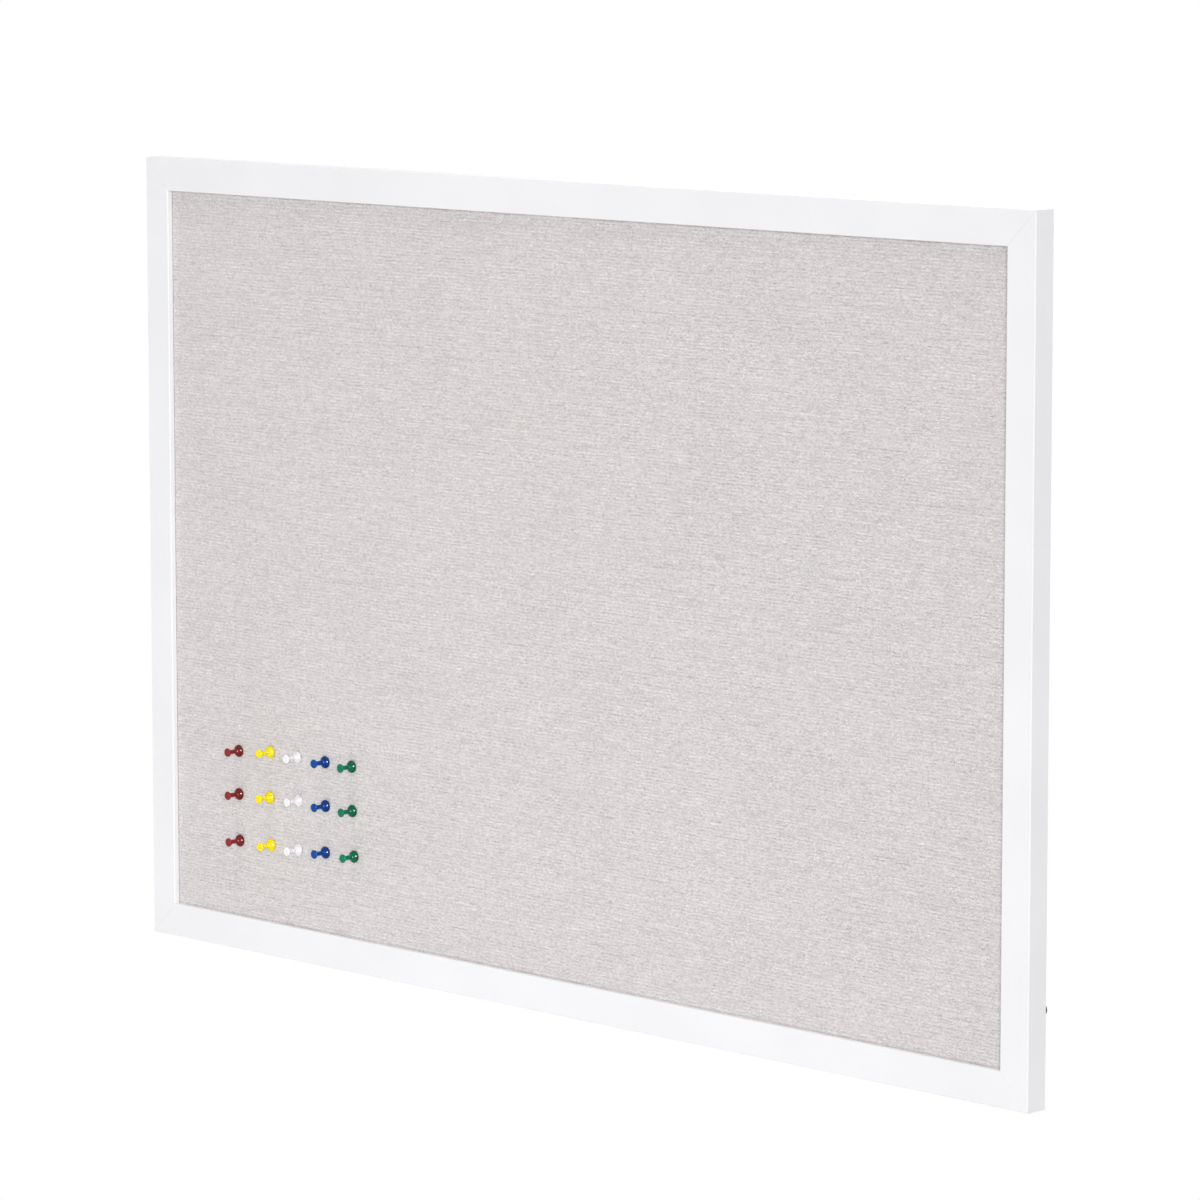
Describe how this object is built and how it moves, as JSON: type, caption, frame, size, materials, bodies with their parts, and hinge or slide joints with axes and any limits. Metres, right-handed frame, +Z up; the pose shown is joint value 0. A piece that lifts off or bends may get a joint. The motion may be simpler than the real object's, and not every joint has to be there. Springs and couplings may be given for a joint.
{
  "type": "pin board",
  "caption": "Linen-faced cork pin board in a white mitred frame, with coloured push pins that pull out and D-ring hangers that swing on its back.",
  "frame": {"origin": "centre of the plane that the backs of the four frame rails share, where the board faces the wall", "axes": "+X to the viewer's right along the long side, +Z up, +Y from the front towards the wall"},
  "size_m": [0.9144, 0.0306, 0.6096],
  "materials": {
    "white_frame": "satin white paint",
    "linen": "warm grey woven linen",
    "cork": "fine granulated cork",
    "fibreboard": "bare fibreboard",
    "steel_strip": "bare strip steel",
    "hanger_plate": "bright zinc plate",
    "bumper_rubber": "matt black rubber",
    "needle_steel": "polished",
    "red_plastic": "gloss",
    "yellow_plastic": "gloss",
    "white_plastic": "gloss",
    "blue_plastic": "gloss",
    "green_plastic": "gloss"
  },
  "bodies": {
    "board": {"rail_top": "white_frame", "rail_bottom": "white_frame", "rail_left": "white_frame", "rail_right": "white_frame", "linen_cover": "linen", "cork_sheet": "cork", "fibreboard_backing": "fibreboard", "retaining_point_top_1": "steel_strip", "retaining_point_top_2": "steel_strip", "retaining_point_top_3": "steel_strip", "retaining_point_bottom_1": "steel_strip", "retaining_point_bottom_2": "steel_strip", "retaining_point_bottom_3": "steel_strip", "retaining_point_left_1": "steel_strip", "retaining_point_left_2": "steel_strip", "retaining_point_right_1": "steel_strip", "retaining_point_right_2": "steel_strip", "corner_nail_top_left": "steel_strip", "corner_nail_top_right": "steel_strip", "corner_nail_bottom_left": "steel_strip", "corner_nail_bottom_right": "steel_strip", "hanger_strap_left": "hanger_plate", "hanger_screw_left": "hanger_plate", "bumper_left": "bumper_rubber", "hanger_strap_right": "hanger_plate", "hanger_screw_right": "hanger_plate", "bumper_right": "bumper_rubber"},
    "pin_red_top": {"pin_head_red_top": "red_plastic", "pin_needle_red_top": "needle_steel"},
    "pin_yellow_top": {"pin_head_yellow_top": "yellow_plastic", "pin_needle_yellow_top": "needle_steel"},
    "pin_white_top": {"pin_head_white_top": "white_plastic", "pin_needle_white_top": "needle_steel"},
    "pin_blue_top": {"pin_head_blue_top": "blue_plastic", "pin_needle_blue_top": "needle_steel"},
    "pin_green_top": {"pin_head_green_top": "green_plastic", "pin_needle_green_top": "needle_steel"},
    "pin_red_middle": {"pin_head_red_middle": "red_plastic", "pin_needle_red_middle": "needle_steel"},
    "pin_yellow_middle": {"pin_head_yellow_middle": "yellow_plastic", "pin_needle_yellow_middle": "needle_steel"},
    "pin_white_middle": {"pin_head_white_middle": "white_plastic", "pin_needle_white_middle": "needle_steel"},
    "pin_blue_middle": {"pin_head_blue_middle": "blue_plastic", "pin_needle_blue_middle": "needle_steel"},
    "pin_green_middle": {"pin_head_green_middle": "green_plastic", "pin_needle_green_middle": "needle_steel"},
    "pin_red_bottom": {"pin_head_red_bottom": "red_plastic", "pin_needle_red_bottom": "needle_steel"},
    "pin_yellow_bottom": {"pin_head_yellow_bottom": "yellow_plastic", "pin_needle_yellow_bottom": "needle_steel"},
    "pin_white_bottom": {"pin_head_white_bottom": "white_plastic", "pin_needle_white_bottom": "needle_steel"},
    "pin_blue_bottom": {"pin_head_blue_bottom": "blue_plastic", "pin_needle_blue_bottom": "needle_steel"},
    "pin_green_bottom": {"pin_head_green_bottom": "green_plastic", "pin_needle_green_bottom": "needle_steel"},
    "ring_left": {"hanger_ring_left": "hanger_plate"},
    "ring_right": {"hanger_ring_right": "hanger_plate"}
  },
  "joints": [
    {"name": "pull_red_top", "type": "slide", "parent": "board", "child": "pin_red_top", "axis": [0, -1, 0], "range_m": [0, 0.0093]},
    {"name": "pull_yellow_top", "type": "slide", "parent": "board", "child": "pin_yellow_top", "axis": [0, -1, 0], "range_m": [0, 0.0093]},
    {"name": "pull_white_top", "type": "slide", "parent": "board", "child": "pin_white_top", "axis": [0, -1, 0], "range_m": [0, 0.0093]},
    {"name": "pull_blue_top", "type": "slide", "parent": "board", "child": "pin_blue_top", "axis": [0, -1, 0], "range_m": [0, 0.0093]},
    {"name": "pull_green_top", "type": "slide", "parent": "board", "child": "pin_green_top", "axis": [0, -1, 0], "range_m": [0, 0.0093]},
    {"name": "pull_red_middle", "type": "slide", "parent": "board", "child": "pin_red_middle", "axis": [0, -1, 0], "range_m": [0, 0.0093]},
    {"name": "pull_yellow_middle", "type": "slide", "parent": "board", "child": "pin_yellow_middle", "axis": [0, -1, 0], "range_m": [0, 0.0093]},
    {"name": "pull_white_middle", "type": "slide", "parent": "board", "child": "pin_white_middle", "axis": [0, -1, 0], "range_m": [0, 0.0093]},
    {"name": "pull_blue_middle", "type": "slide", "parent": "board", "child": "pin_blue_middle", "axis": [0, -1, 0], "range_m": [0, 0.0093]},
    {"name": "pull_green_middle", "type": "slide", "parent": "board", "child": "pin_green_middle", "axis": [0, -1, 0], "range_m": [0, 0.0093]},
    {"name": "pull_red_bottom", "type": "slide", "parent": "board", "child": "pin_red_bottom", "axis": [0, -1, 0], "range_m": [0, 0.0093]},
    {"name": "pull_yellow_bottom", "type": "slide", "parent": "board", "child": "pin_yellow_bottom", "axis": [0, -1, 0], "range_m": [0, 0.0093]},
    {"name": "pull_white_bottom", "type": "slide", "parent": "board", "child": "pin_white_bottom", "axis": [0, -1, 0], "range_m": [0, 0.0093]},
    {"name": "pull_blue_bottom", "type": "slide", "parent": "board", "child": "pin_blue_bottom", "axis": [0, -1, 0], "range_m": [0, 0.0093]},
    {"name": "pull_green_bottom", "type": "slide", "parent": "board", "child": "pin_green_bottom", "axis": [0, -1, 0], "range_m": [0, 0.0093]},
    {"name": "swing_ring_left", "type": "hinge", "parent": "board", "child": "ring_left", "pos_m": [-0.4462, 0.0021, 0.1948], "axis": [1, 0, 0], "range_deg": [0, 178]},
    {"name": "swing_ring_right", "type": "hinge", "parent": "board", "child": "ring_right", "pos_m": [0.4462, 0.0021, 0.1948], "axis": [1, 0, 0], "range_deg": [0, 178]}
  ]
}
